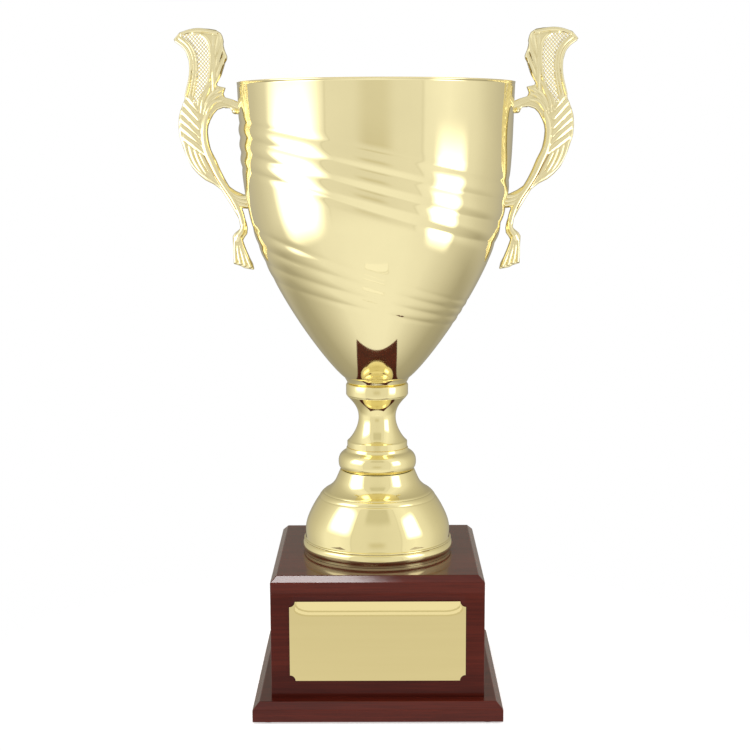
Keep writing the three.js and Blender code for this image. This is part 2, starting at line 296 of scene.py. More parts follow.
low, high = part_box("base_screw_1")
middle = (low + high) / 2
head = (high.x - low.x) / 2
wood_screw = rod(head, low.z, low.z + head * 0.5, middle.x, middle.y, head * 0.5)
pick(wood_screw, "FACE", lambda centre, normal: normal.z > 0.9)
bpy.ops.mesh.extrude_region_move(TRANSFORM_OT_translate={"value": (0, 0, high.z - low.z - 3 * head / 2)})
bpy.ops.mesh.extrude_region_move(TRANSFORM_OT_translate={"value": (0, 0, head)})
bpy.ops.mesh.merge(type="CENTER")
close_edit(30)
for turn_of_slot in (45, 135):
    bpy.ops.mesh.primitive_cube_add(
        size=1,
        location=(middle.x, middle.y, low.z),
        rotation=(0, 0, math.radians(turn_of_slot)),
        scale=(head * 1.2, head * 0.28, head * 0.9),
    )
    bore(wood_screw, bpy.context.object)
for i in range(1, 5):
    screw = copy_of(wood_screw)
    screw.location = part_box(f"base_screw_{i}")[0] - low
    screw.data.materials.append(zinc)
    stand_for(screw, f"wood_screw_{i}", "zinc_steel", f"base_screw_{i}")
bpy.data.objects.remove(wood_screw)


# ---- Plinth walls -------------------------------------------------------------------------
# Four boards, mitred where they meet at the corners and glued, veneered and sprayed with the
# same mahogany lacquer as the base. The outside corners are eased before spraying.

wall_low, wall_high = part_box("plinth_front")
MITRE_GAP = 0.03 * MM
bpy.ops.mesh.primitive_cube_add(
    size=1, location=(wall_low + wall_high) / 2, scale=wall_high - wall_low
)
wall = settle(bpy.context.object, "wall")
pick(wall, "EDGE", lambda a, b: max(a.y, b.y) < wall_low.y + 1e-5 and abs(a.x - b.x) < 1e-5)
bpy.ops.mesh.bevel(offset=0.8 * MM, segments=4, affect="EDGES")
for side in (-1, 1):
    bpy.ops.mesh.select_all(action="SELECT")
    bpy.ops.mesh.bisect(
        plane_co=(0, -MITRE_GAP, 0),
        plane_no=(side, 1, 0),
        clear_outer=True,
        use_fill=True,
    )
close_edit(30)
UPRIGHT_GLOSS = 1.23
front_mahogany = lacquer("mahogany_lacquer_fronts", (True, False, False), UPRIGHT_GLOSS)
side_mahogany = lacquer("mahogany_lacquer_sides", (False, True, False), UPRIGHT_GLOSS)
for i, side in enumerate(("front", "right", "back", "left")):
    board = copy_of(wall)
    board.rotation_euler.z = i * math.pi / 2
    board.data.materials.append(side_mahogany if i % 2 else front_mahogany)
    stand_for(board, f"plinth_wall_{side}", "lacquered_wood", f"plinth_{side}")
bpy.data.objects.remove(wall)


# ---- Top panel of the plinth --------------------------------------------------------------
# A square board with a chamfer all round, glued over the walls and lacquered. The tie rod
# comes through its middle.

TOP_CHAMFER = 4.4 * MM
top_low, top_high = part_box("plinth_top")
rod_low, rod_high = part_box("tie_rod")
rod_radius = (rod_high.x - rod_low.x) / 2
ROD_ROOM = 0.4 * MM
top = slab(top_low, top_high, TOP_CHAMFER, EASE)
bore(top, rod(rod_radius + ROD_ROOM, top_low.z - MM, top_high.z + MM))
top.data.materials.append(mahogany)
stand_for(top, "plinth_top_panel", "lacquered_wood", "plinth_top")


# ---- Nameplate ----------------------------------------------------------------------------
# A blank of thin polished brass with its corners scooped out by a punch, stuck to the front
# with foam tape. The shears have left it curled back a little along its edges.

SCOOP = 4 * MM
CURL = 0.1 * MM
plate_low, plate_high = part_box("nameplate")
plate_middle = (plate_low + plate_high) / 2
bpy.ops.mesh.primitive_cube_add(size=1, location=plate_middle, scale=plate_high - plate_low)
plate = settle(bpy.context.object, "plate")
for x in (plate_low.x, plate_high.x):
    for z in (plate_low.z, plate_high.z):
        bpy.ops.mesh.primitive_cylinder_add(
            vertices=64,
            radius=SCOOP,
            depth=10 * MM,
            location=(x, plate_middle.y, z),
            rotation=(math.pi / 2, 0, 0),
        )
        bore(plate, bpy.context.object)
CUTS = 60
pick(plate, "FACE", lambda centre, normal: True)
for i in range(1, CUTS):
    bpy.ops.mesh.select_all(action="SELECT")
    x = plate_low.x + (plate_high.x - plate_low.x) * i / CUTS
    bpy.ops.mesh.bisect(plane_co=(x, 0, 0), plane_no=(1, 0, 0))
for i in range(1, CUTS // 2):
    bpy.ops.mesh.select_all(action="SELECT")
    z = plate_low.z + (plate_high.z - plate_low.z) * i / (CUTS // 2)
    bpy.ops.mesh.bisect(plane_co=(0, 0, z), plane_no=(0, 0, 1))
bpy.ops.object.mode_set(mode="OBJECT")
curled = plate.vertex_groups.new(name="curl")
for vertex in plate.data.vertices:
    from_side = min(vertex.co.x - plate_low.x, plate_high.x - vertex.co.x)
    amount = max(0.0, 1 - from_side / (14 * MM)) ** 2
    curled.add([vertex.index], amount, "REPLACE")
apply(plate, "DISPLACE", strength=CURL, direction="Y", mid_level=0.0, vertex_group="curl")
plate.vertex_groups.clear()
bpy.ops.object.select_all(action="DESELECT")
bpy.context.view_layer.objects.active = plate
bpy.ops.object.shade_smooth_by_angle(angle=math.radians(30))

polished_brass, tree, surface = shader("polished_brass_sheet")
rolling = spots(tree, 60, 4, (0.15, 1, 3))
tree.links.new(ramp(tree, rolling, [(0.3, (0.8, 0.675, 0.325)), (0.7, (0.815, 0.69, 0.335))]),
               surface.inputs["Base Color"])
tree.links.new(ramp(tree, rolling, [(0.3, (0.012, 0.012, 0.012)), (0.7, (0.02, 0.02, 0.02))]),
               surface.inputs["Roughness"])
surface.inputs["Metallic"].default_value = 1.0
tree.links.new(raised(tree, spots(tree, 60, 2, (0.3, 1, 1)), 0.000001), surface.inputs["Normal"])
plate.data.materials.append(polished_brass)
stand_for(plate, "brass_nameplate", "gilt_plate", "nameplate")

foam, tree, surface = shader("foam_tape")
cells = spots(tree, 3000, 2)
tree.links.new(ramp(tree, cells, [(0.3, (0.62, 0.62, 0.58)), (0.7, (0.8, 0.8, 0.76))]),
               surface.inputs["Base Color"])
surface.inputs["Roughness"].default_value = 0.8
tree.links.new(raised(tree, cells, 0.0001), surface.inputs["Normal"])
coat(foam, "nameplate_tape")


# ---- Foot ---------------------------------------------------------------------------------
# A dome spun from brass sheet, with a small step at its shoulder and its edge rolled into a
# bead that stands on the plinth. It is polished, then gold plated.

STEPS = 192
SHEET = 1.2 * MM


def arc(x, z, radius, start, end, count=8):
    """Points on part of a circle, in millimetres, from one angle to another in degrees."""
    angles = [math.radians(start + (end - start) * i / count) for i in range(count + 1)]
    return [(x + radius * math.cos(a), z + radius * math.sin(a)) for a in angles]


def bend(points, count=16):
    """Points on a smooth curve, made of cubic stretches with shared ends: end, two handles, end."""
    made = [points[0]]
    for i in range(0, len(points) - 1, 3):
        a, b, c, d = (np.array(p, float) for p in points[i:i + 4])
        for t in np.linspace(0, 1, count + 1)[1:]:
            u = 1 - t
            made.append(tuple(a * u**3 + 3 * b * u * u * t + 3 * c * u * t * t + d * t**3))
    return made


def inwards(points, thickness):
    """The same curve, moved in by the thickness of the sheet."""
    along = np.gradient(np.array(points, float), axis=0)
    along /= np.linalg.norm(along, axis=1)[:, None]
    return [(r - t[1] * thickness, z + t[0] * thickness) for (r, z), t in zip(points, along)]


def wire(outline, y):
    """Draws an outline of (x, z) points in millimetres at y, and leaves it selected in edit mode."""
    x, z = outline[0]
    bpy.ops.mesh.primitive_plane_add(size=MM, location=(x * MM, y, z * MM))
    bpy.ops.object.transform_apply()
    bpy.ops.object.mode_set(mode="EDIT")
    bpy.ops.mesh.select_mode(type="VERT")
    bpy.ops.mesh.select_all(action="SELECT")
    bpy.ops.mesh.merge(type="CENTER")
    for (x0, z0), (x1, z1) in zip(outline, outline[1:]):
        bpy.ops.mesh.extrude_region_move(
            TRANSFORM_OT_translate={"value": ((x1 - x0) * MM, 0, (z1 - z0) * MM)}
        )
    bpy.ops.mesh.select_all(action="SELECT")


def turn(name, outline, steps=STEPS, angle=30):
    """Spins an outline of (radius, height) points in millimetres about the Z axis."""
    wire(outline, 0)
    bpy.ops.mesh.spin(steps=steps, angle=2 * math.pi, center=(0, 0, 0), axis=(0, 0, 1))
    bpy.ops.mesh.select_all(action="SELECT")
    bpy.ops.mesh.remove_doubles(threshold=1e-6)
    bpy.ops.mesh.normals_make_consistent(inside=False)
    close_edit(angle)
    piece = bpy.context.object
    piece.name = name
    return piece


def gilding(name, tone, scale, low_gloss, high_gloss):
    """Gold plate over polished brass, with faint clouds in its colour and gloss."""
    material, tree, surface = shader(name)
    clouds = spots(tree, scale, 4)
    darker = tuple(c * 0.97 for c in tone)
    tree.links.new(ramp(tree, clouds, [(0.35, darker), (0.65, tone)]), surface.inputs["Base Color"])
    tree.links.new(
        ramp(tree, spots(tree, scale * 7, 3), [(0.3, (low_gloss,) * 3), (0.7, (high_gloss,) * 3)]),
        surface.inputs["Roughness"],
    )
    surface.inputs["Metallic"].default_value = 1.0
    tree.links.new(raised(tree, spots(tree, 45, 2), 0.000006), surface.inputs["Normal"])
    return material


gilt = gilding("gilt_turned_brass", (0.92, 0.81, 0.42), 30, 0.025, 0.06)

foot_low, foot_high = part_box("foot_dome")
z0 = foot_low.z / MM
dome = bend([
    (54.2, z0 + 11.4), (54.5, z0 + 17.5), (53.8, z0 + 22), (51.6, z0 + 27.2),
    (49.6, z0 + 31.9), (46.9, z0 + 36.9), (43.8, z0 + 41.2),
], 20)
bell = bend([
    (39.9, z0 + 45.9), (35.4, z0 + 48.4), (32.4, z0 + 51.2), (30.9, z0 + 54.6),
    (29.7, z0 + 57.2), (28.7, z0 + 59.6), (27.9, z0 + 61.6),
], 14)
dome_skin = [
    *dome,
    (43.3, z0 + 41.6), (43.3, z0 + 42.0), (43.2, z0 + 42.4), (42.2, z0 + 43.7), (41.2, z0 + 44.8),
    (40.9, z0 + 45.0), (40.5, z0 + 45.1), (40.3, z0 + 45.4),
    *bell,
]
HOLE = rod_radius / MM + 0.4
foot_outline = [
    (53.0, z0), (54.6, z0), (54.8, z0 + 0.2), (54.8, z0 + 1.7),
    *bend([(54.9, z0 + 2.0), (56.1, z0 + 2.3), (56.4, z0 + 4.4), (56.2, z0 + 6.0),
           (56.0, z0 + 7.4), (55.6, z0 + 8.3), (55.0, z0 + 8.8)], 10),
    (54.8, z0 + 9.0), (54.8, z0 + 9.3),
    *arc(54.6, z0 + 10.0, 0.75, -60, 75, 8),
    (54.3, z0 + 11.0),
    *dome_skin,
    (27.6, foot_high.z / MM), (HOLE, foot_high.z / MM), (HOLE, foot_high.z / MM - 1.2),
    *inwards(dome_skin, 1.2)[::-1],
    (53.0, z0 + 8), (53.0, z0),
]
foot = turn("foot", foot_outline)
foot.data.materials.append(gilt)
stand_for(foot, "spun_foot", "gilt_sheet", "foot_dome")


# ---- Stem ---------------------------------------------------------------------------------
# Three rings of gold plated brass threaded on the tie rod between the foot and the cup: a
# round bead, a narrow waist and a flat collar. Each is turned and polished by itself.

def z_of(name):
    """The lowest and highest heights of a CAD node, in millimetres."""
    low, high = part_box(name)
    return low.z / MM, high.z / MM


b0, b1 = z_of("stem_bead")
bead = turn("bead", [
    (HOLE, b0), (25.6, b0), (26.3, b0 + 0.3),
    *bend([(26.5, b0 + 0.9), (28.4, b0 + 1.3), (29.0, b0 + 3.6), (29.0, b0 + 6.4),
           (29.0, b0 + 10.4), (27.2, b0 + 12.4), (24.6, b0 + 14)], 14),
    (23.7, b0 + 14.5), (23.2, b0 + 15.2), (23.0, b1 - 0.4), (22.7, b1), (HOLE, b1), (HOLE, b0),
])
bead.data.materials.append(gilt)
stand_for(bead, "stem_bead_ring", "gilt_sheet", "stem_bead")

w0, w1 = z_of("stem_waist")
waist = turn("waist", [
    (HOLE, w0), (22.0, w0), (22.4, w0 + 0.3), (22.4, w0 + 4.2), (22.1, w0 + 4.7),
    *bend([(21.6, w0 + 5.0), (18.2, w0 + 8.5), (14.1, w0 + 15), (13.85, w0 + 22),
           (13.7, w0 + 28.6), (16.6, w0 + 32.6), (20.8, w0 + 37.0)], 20),
    (22.2, w1 - 0.5), (22.3, w1), (HOLE, w1), (HOLE, w0),
])
waist.data.materials.append(gilt)
stand_for(waist, "stem_waist_ring", "gilt_sheet", "stem_waist")

c0, c1 = z_of("cup_collar")
collar = turn("collar", [
    (HOLE, c0), (22.2, c0), (22.6, c0 + 0.15), (23.0, c0 + 0.75), (23.1, c0 + 1.1),
    (23.1, c1 - 1.1), (23.0, c1 - 0.75), (22.6, c1 - 0.15), (22.2, c1), (HOLE, c1), (HOLE, c0),
])
collar.data.materials.append(gilt)
stand_for(collar, "stem_collar_ring", "gilt_sheet", "cup_collar")


# ---- Cup ----------------------------------------------------------------------------------
# A bowl spun from brass sheet over a former, its rim turned over into a flat hem. Two sets of
# slanted hoops are then pressed into it, three low swells to a set, tilted down to the right.

HEM = 1.6          # depth of the hem, in mm
HEM_PROUD = 0.12   # how far it stands out, in mm
SWELL = 1.05       # height of a full swell, in mm
CREASE = 0.5       # depth of the creases that bound a set, in mm
FADE = 0.45        # how far outside its set a crease reaches, as a share of a swell's width
cup_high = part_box("cup")[1]
k0, k1 = z_of("cup")
cup_outline = [
    (HOLE, k0), (20.4, k0), (21.2, k0 + 0.15), (22.1, k0 + 0.9), (22.7, k0 + 2.1),
    *bend([
        (24.2, k0 + 4.8), (34.0, k0 + 11.8), (67.7, k0 + 55.9), (83.8, k0 + 96.1),
        (99.9, k0 + 136.3), (98.3, k0 + 172.4), (100.2, k1),
    ], 118),
]
cup = turn("cup", cup_outline)


def hoop_place(first, pitch, slope, fan, x, z):
    """How far down a set of slanted hoops a place is: 0 at the first crease, 3 at the last."""
    x = x / MM
    return (first - slope * x - z / MM) / (pitch + fan * x)


swells = cup.vertex_groups.new(name="swells")
creases = cup.vertex_groups.new(name="creases")
for vertex in cup.data.vertices:
    x, y, z = vertex.co
    for place, size in (
        (hoop_place(401.4, 13.5, 0.212, 0.03, x, z), 1.0),
        (hoop_place(316.3, 8.6, 0.343, -0.03, x, z), 0.48),
    ):
        if 0 < place < 3:
            swell = math.sqrt(math.sin(math.pi * place) ** 2 + 0.01) - 0.1
            swells.add([vertex.index], size * swell, "ADD")
        outside = max(-place, place - 3, 0.0)
        if outside < FADE:
            creases.add([vertex.index], size * (1 - outside / FADE) ** 2, "ADD")
apply(cup, "DISPLACE", strength=SWELL * MM, mid_level=0.0, vertex_group="swells")
apply(cup, "DISPLACE", strength=-CREASE * MM, mid_level=0.0, vertex_group="creases")
cup.vertex_groups.clear()
bowl_form = copy_of(cup)
pick(bowl_form, "VERT", lambda co: True)
bpy.ops.mesh.select_all(action="SELECT")
bpy.ops.mesh.fill_holes(sides=0)
bpy.ops.object.mode_set(mode="OBJECT")
apply(cup, "SOLIDIFY", thickness=SHEET, offset=-1.0)
hem_low = cup_high.z - HEM * MM
pick(cup, "FACE", lambda centre, normal: centre.z > hem_low and abs(normal.z) < 0.5)
bpy.ops.mesh.extrude_region_shrink_fatten(
    TRANSFORM_OT_shrink_fatten={"value": HEM_PROUD * MM}
)
close_edit(30)
rim = cup_high.z - 1e-5
pick(cup, "EDGE", lambda a, b: min(a.z, b.z) > rim and abs(a.xy.length - b.xy.length) < 1e-5)
bpy.ops.mesh.bevel(offset=0.3 * MM, segments=3, affect="EDGES")
close_edit(30)
cup.data.materials.append(gilding("gilt_sheet_brass", (0.92, 0.82, 0.47), 25, 0.03, 0.06))
stand_for(cup, "spun_cup", "gilt_sheet", "cup")


# ---- Tie rod, nuts and washers ------------------------------------------------------------
# One M8 threaded rod clamps the cup, stem and foot down on the plinth. It has a broad washer
# and a hexagon nut at each end, all of it zinc plated steel.

THREAD_PITCH = 1.25
THREAD_DEPTH = 0.6
r = rod_radius / MM
t0, t1 = z_of("tie_rod")
plain = [(0.3, t0), (r - THREAD_DEPTH, t0)]
crests = []
z = t0 + 0.5
while z < t1 - 0.8:
    crests += [(r, z), (r, z + 0.15), (r - THREAD_DEPTH, z + THREAD_PITCH / 2)]
    z += THREAD_PITCH
stud = turn("stud", [*plain, *crests, (r - THREAD_DEPTH, t1), (0.3, t1), (0.3, t0)], 40)
stud.data.materials.append(zinc)
stand_for(stud, "threaded_tie_rod", "zinc_steel", "tie_rod")

for end in ("plinth", "cup"):
    low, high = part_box(f"{end}_washer")
    n0, n1 = low.z / MM, high.z / MM
    edge = high.x / MM
    washer = turn("washer", [
        (HOLE, n0), (edge - 0.3, n0), (edge, n0 + 0.3), (edge, n1 - 0.5), (edge - 0.5, n1),
        (HOLE, n1), (HOLE, n0),
    ], 64)
    washer.data.materials.append(zinc)
    stand_for(washer, f"{end}_end_washer", "zinc_steel", f"{end}_washer")

    low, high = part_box(f"{end}_nut")
    corner = max(high.x, high.y)
    bpy.ops.mesh.primitive_cylinder_add(
        vertices=6, radius=corner, depth=high.z - low.z, location=(0, 0, (low.z + high.z) / 2)
    )
    nut = settle(bpy.context.object, "nut")
    if high.x > high.y:
        nut.rotation_euler.z = math.pi / 6
    bore(nut, rod(rod_radius + 0.3 * MM, low.z - MM, high.z + MM))
    outside = 6.5 * MM
    pick(nut, "EDGE", lambda a, b: abs(a.z - b.z) < 1e-6 and min(a.xy.length, b.xy.length) > outside)
    bpy.ops.mesh.bevel(offset=0.6 * MM, segments=2, affect="EDGES")
    close_edit(25)
    nut.data.materials.append(zinc)
    stand_for(nut, f"{end}_end_nut", "zinc_steel", f"{end}_nut")


# ---- Handles ------------------------------------------------------------------------------
# Two relief castings in zinc alloy, gold plated: a crested bird's neck with a net panel, laurel
# leaves and gadroons, on a leg with a splayed foot. One is the mirror of the other.

BODY = 3.0     # half the depth of a handle between its ridges, in mm
GRAIN = 0.45   # the finest detail that the casting holds, in mm
PROFILE = [
    (96, 437.5), (100, 437.3), (104, 439), (109.5, 440.6), (110.4, 443), (108.8, 447.3), (114.8, 448.6),
    (115.4, 453), (111.4, 458), (109.2, 464), (107.4, 467.4), (107.2, 469.4), (109, 474), (110, 478),
    (109.5, 480), (110.5, 484), (111.6, 486), (115, 488.2), (120, 489), (127, 489.4), (134, 488.5),
    (141, 486.5), (145.6, 481.2), (143, 479.5), (139.5, 477), (136.5, 472), (134.8, 466), (134.5, 460),
    (134.8, 455), (136, 448), (138, 441), (138.8, 438), (141.3, 432), (142.8, 427), (143.3, 420),
    (142.8, 413), (141.3, 408), (139.3, 402), (136.8, 396), (133.8, 390), (129.3, 385), (124.5, 381),
    (118.5, 378), (113, 374), (110, 369), (105, 361), (100.4, 352.5), (99.6, 346), (104, 342.4),
    (105.5, 340), (105.3, 336), (104.8, 330), (105, 320), (100, 318.5), (97, 316.8), (90, 315.5),
    (91, 320), (95, 328), (98, 334), (98.5, 336), (97, 339), (94.8, 342), (94.4, 346), (95.2, 350),
    (97.6, 357), (98.4, 360.6), (94, 360.2), (90, 361), (90, 371), (97, 370.6), (103, 373.4),
    (107.5, 376.6), (109.5, 380), (115, 388), (116.8, 394), (118.8, 398), (120.3, 403), (121.8, 410),
    (122.3, 416), (121.8, 420), (120.3, 424), (117.8, 428.5), (115, 431.5), (110, 433.2), (105.5, 432.5),
    (103.6, 429.4), (100.6, 428.2), (96, 430),
]


def flat_blank(outline, half_depth, edge):
    """A flat shape from (x, z) points in millimetres, with its edges rounded over."""
    wire(outline, -half_depth * MM)
    bpy.ops.mesh.edge_face_add()
    bpy.ops.mesh.extrude_region_move(TRANSFORM_OT_translate={"value": (0, 2 * half_depth * MM, 0)})
    bpy.ops.mesh.select_all(action="SELECT")
    bpy.ops.mesh.normals_make_consistent(inside=False)
    bpy.ops.object.mode_set(mode="OBJECT")
    flat = bpy.context.object
    pick(flat, "EDGE", lambda a, b: abs(a.y - b.y) < 1e-6)
    bpy.ops.mesh.bevel(offset=edge * MM, segments=3, affect="EDGES", clamp_overlap=True)
    bpy.ops.object.mode_set(mode="OBJECT")
    return flat


def strand(points, radii, lift=BODY, flatness=1.0):
    """A round ridge through (x, z) points on the face of the casting, as thick as its radii say."""
    bpy.ops.curve.primitive_bezier_curve_add(location=(0, 0, 0))
    made = bpy.context.object
    line = made.data.splines[0]
    line.bezier_points.add(len(points) - 2)
    if len(radii) < len(points):
        radii = np.interp(np.linspace(0, 1, len(points)), np.linspace(0, 1, len(radii)), radii)
    for knot, (x, z), radius in zip(line.bezier_points, points, radii):
        knot.co = (x * MM, 0, z * MM)
        knot.handle_left_type = knot.handle_right_type = "AUTO"
        knot.radius = radius
    made.data.bevel_depth = MM
    made.data.bevel_resolution = 3
    made.data.resolution_u = 8
    made.data.use_fill_caps = True
    bpy.ops.object.convert(target="MESH")
    made.scale.y = flatness
    made.location.y = -lift * MM
    return settle(made, "ridge")


raised_work = []


def ridge(*shape):
    """Adds a strand of this shape to the raised work."""
    raised_work.append(strand(*shape))


def knob(x, z, radius, lift=BODY, stretch=(1, 1, 1), tilt=0.0):
    """A rounded lump on the face of the casting, tilted by an angle in degrees."""
    bpy.ops.mesh.primitive_ico_sphere_add(
        subdivisions=2,
        radius=radius * MM,
        location=(x * MM, -lift * MM, z * MM),
        rotation=(0, math.radians(tilt), 0),
        scale=stretch,
    )
    return settle(bpy.context.object, "knob")


def between(line, other, share):
    """A line of points that lies between two others."""
    return [
        (a + (c - a) * share, b + (d - b) * share) for (a, b), (c, d) in zip(line, other)
    ]


# Border of the crest, and the two cords down the back of the neck, with room for a net between
left_of_net = [
    (129.4, 436), (126.6, 440), (122.9, 446), (120.4, 453), (119.2, 462), (118.8, 471), (120.2, 479),
    (125, 484.4), (131.5, 486),
]
right_of_net = [
    (133.2, 436), (132.4, 440), (131, 446), (129.8, 453), (128.9, 462), (129.6, 470), (132, 476),
    (135.8, 480.4), (139.6, 483),
]
ridge(left_of_net, (0.5, 0.9, 1.1, 0.8))
ridge(right_of_net, (0.5, 0.9, 1.0, 0.8))
ridge([(113.5, 486), (120, 487.2), (127, 488), (134, 487.2), (140.5, 485)], (1.2, 1.5, 1.3))
ridge(
    [(137.6, 441), (136.2, 446), (134, 455), (133.4, 463), (134.4, 470), (137.8, 476), (144.2, 480.8)],
    (0.9, 1.1, 1.2, 1.3, 1.1),
)
ridge(
    [(134.9, 441), (133.4, 446), (131.6, 455), (131, 463), (132, 471), (135.4, 477.4), (141.4, 482.6)],
    (0.6, 0.9, 1.0, 0.9),
)

# Laurel leaves up the front of the neck
for leaf in (
    [(117.5, 441), (116.8, 452), (117.3, 464), (117.0, 475), (116.6, 485.5)],
    [(116.2, 449), (113.4, 457), (110.8, 464), (108.9, 469.6)],
    [(116.4, 456), (113.6, 466), (111.4, 474), (110.3, 481.4)],
    [(116.2, 464), (114.4, 473), (112.8, 480), (112.6, 486)],
):
    ridge(leaf, (0.5, 1.9, 1.7, 0.35), BODY, 0.6)

# The leaf that wraps the upper arm
for vein in (
    [(109.4, 446.4), (114, 444.8), (120, 440.5), (125.6, 431)],
    [(111, 443), (116, 441), (121, 436.6), (124.6, 428.5)],
    [(110.6, 438.6), (116.4, 437.4), (120.4, 433), (123.4, 426)],
    [(119.2, 451), (122, 444), (125, 438), (126.6, 429.5)],
    [(122.4, 449), (125.2, 443), (127.8, 438), (128.4, 431)],
):
    ridge(vein, (0.5, 1.35, 1.35, 0.5), BODY, 0.75)
ridge([(94, 434.2), (100, 434), (105, 435.8), (110.4, 437), (116, 435)], (3.4, 2.9, 2.7, 2.6, 1.6), 0.6)
raised_work.append(knob(102.2, 430.6, 2.3, 1.2, (1, 1.6, 1)))

# Gadroons over the swell of the body, each from the cord up to the outer edge
for start, end in (
    ((128.8, 431), (135.2, 440.6)), ((128.2, 424.6), (138.6, 437.2)), ((127.7, 418), (140.6, 431.8)),
    ((127.3, 412), (141.5, 426)), ((126.3, 406.2), (141.4, 420)), ((124.2, 400), (139.8, 412.6)),
):
    middle = ((start[0] + end[0]) / 2 - 0.3, (start[1] + end[1]) / 2 + 0.3)
    ridge([start, middle, end], (1.2, 2.15, 1.9), BODY - 0.1, 0.5)

# The broad cord that runs from the body down the leg
ridge(
    [(121.6, 429), (124.2, 420), (124.2, 408), (122.2, 401), (119.2, 394.4), (114.8, 384.6), (110.5, 377),
     (103.8, 366.6), (98.8, 355), (97.2, 345)],
    (1.5, 2.1, 2.3, 2.7, 2.9, 2.7, 2.5, 2.4, 2.2, 1.8), BODY - 0.1, 0.5,
)

# The fluted crescent behind it; the line of the groove between them is marked, and the material below paints
# a shadow along it
groove_shadow_line = [(124.9, 399), (122.9, 394.9), (117.6, 384.6), (113.1, 377.4), (106.5, 367.5), (102.2, 359.5)]
crescent_inner = [(127, 399.6), (124.6, 394.6), (121.2, 388), (117.8, 382), (114.8, 377.8)]
crescent_outer = [(139.4, 408.6), (137.4, 400), (133.2, 391.8), (127, 385.2), (117.8, 379)]
for share, thick in ((0.08, 0.7), (0.36, 1.25), (0.68, 1.15), (1.0, 0.85)):
    ridge(between(crescent_inner, crescent_outer, share), (0.7, thick, thick, 0.5), BODY, 0.7)

# The leaf on the strut to the bowl, the ankle and the splayed foot
for vein in (
    [(91, 369.4), (98, 368.6), (104, 371), (108.4, 375)],
    [(91, 365.6), (97, 365.8), (102, 367.6), (106, 371.4)],
    [(91, 362.2), (96, 362.8), (100.4, 364.4), (103.6, 367)],
):
    ridge(vein, (1.5, 1.4, 1.2, 0.6))
ridge([(97.2, 349), (98.4, 344), (101.2, 340.2), (102.6, 337)], (1.8, 2.4, 2.6, 2.0), BODY - 0.6)
for toe in (
    [(99.8, 340), (97.6, 332), (94.6, 324), (92.2, 317.4)],
    [(101, 340), (99.6, 332), (97.6, 325), (96.2, 318.6)],
    [(102.4, 340), (101.6, 332), (100.6, 325), (99.6, 319.8)],
    [(103.6, 340), (103.8, 332), (103.6, 326), (103.4, 320.8)],
):
    ridge(toe, (0.8, 1.15, 1.4, 1.3))

# Joined on one side, mirrored to the other, and melted into one skin
bpy.ops.object.select_all(action="DESELECT")
for piece in raised_work:
    piece.select_set(True)
relief = raised_work[0]
bpy.context.view_layer.objects.active = relief
bpy.ops.object.join()
apply(relief, "MIRROR", use_axis=(False, True, False), use_mirror_merge=False)
blank = flat_blank(PROFILE, BODY, 1.1)
bpy.ops.object.select_all(action="DESELECT")
relief.select_set(True)
blank.select_set(True)
bpy.context.view_layer.objects.active = blank
bpy.ops.object.join()
casting = settle(blank, "casting")
apply(casting, "REMESH", mode="VOXEL", voxel_size=GRAIN * MM, adaptivity=0.0)
apply(casting, "SMOOTH", factor=0.5, iterations=4)

# The bowl's own outside, closed, trims the ends of each handle to fit it
castgold, tree, surface = shader("gilt_casting")
# Painted shade: the casting's colour darkens in the hollows of the relief, found from its pointiness, and is
# a little lighter on the ridges.
hollow = node(tree, "ShaderNodeNewGeometry").outputs["Pointiness"]
painted_hollow_shade = ramp(tree, hollow, [(0.44, (0.5, 0.38, 0.16)), (0.49, (0.88, 0.78, 0.45)), (0.56, (0.95, 0.87, 0.56))])
in_net = node(tree, "ShaderNodeAttribute", attribute_name="net").outputs["Fac"]
place = node(tree, "ShaderNodeSeparateXYZ", {0: node(tree, "ShaderNodeTexCoord").outputs["Object"]})
NET_WIDTH, NET_HEIGHT = 2.5 * MM, 2.9 * MM
wires = []
for slant in (-1, 1):
    across = node(
        tree, "ShaderNodeMath", {0: place.outputs["X"], 1: math.pi / NET_WIDTH}, operation="MULTIPLY"
    )
    up = node(
        tree, "ShaderNodeMath", {0: place.outputs["Z"], 1: slant * math.pi / NET_HEIGHT}, operation="MULTIPLY"
    )
    both = node(tree, "ShaderNodeMath", {0: across.outputs[0], 1: up.outputs[0]}, operation="ADD")
    wave = node(tree, "ShaderNodeMath", {0: both.outputs[0]}, operation="SINE")
    wires.append(node(tree, "ShaderNodeMath", {0: wave.outputs[0]}, operation="ABSOLUTE").outputs[0])
nearest = node(tree, "ShaderNodeMath", {0: wires[0], 1: wires[1]}, operation="MINIMUM").outputs[0]
cell = node(tree, "ShaderNodeMath", {0: nearest, 1: in_net}, operation="MULTIPLY").outputs[0]
# Painted highlight: the middle of each cell of the net is coloured near white, and the net stays darker along
# its wires.
painted_cell_highlight = ramp(tree, cell, [(0.3, (0, 0, 0)), (0.5, (1, 1, 1))])
# Painted shadow: the marked groove line is coloured dark brown.
painted_groove_shadow = node(tree, "ShaderNodeAttribute", attribute_name="groove_shadow_line").outputs["Fac"]
tinted = painted_hollow_shade
for share, color in (
    (in_net, (0.7, 0.58, 0.24, 1)), (painted_cell_highlight, (1.0, 0.98, 0.9, 1)), (painted_groove_shadow, (0.22, 0.15, 0.06, 1)),
):
    tinted = node(tree, "ShaderNodeMix", {0: share, 6: tinted, 7: color}, data_type="RGBA").outputs[2]
tree.links.new(tinted, surface.inputs["Base Color"])
tree.links.new(
    ramp(tree, spots(tree, 500, 3), [(0.3, (0.11, 0.11, 0.11)), (0.7, (0.19, 0.19, 0.19))]),
    surface.inputs["Roughness"],
)
surface.inputs["Metallic"].default_value = 1.0
wire_height = ramp(tree, cell, [(0.1, (1, 1, 1)), (0.65, (0, 0, 0))])
tree.links.new(raised(tree, wire_height, 0.0002), surface.inputs["Normal"])

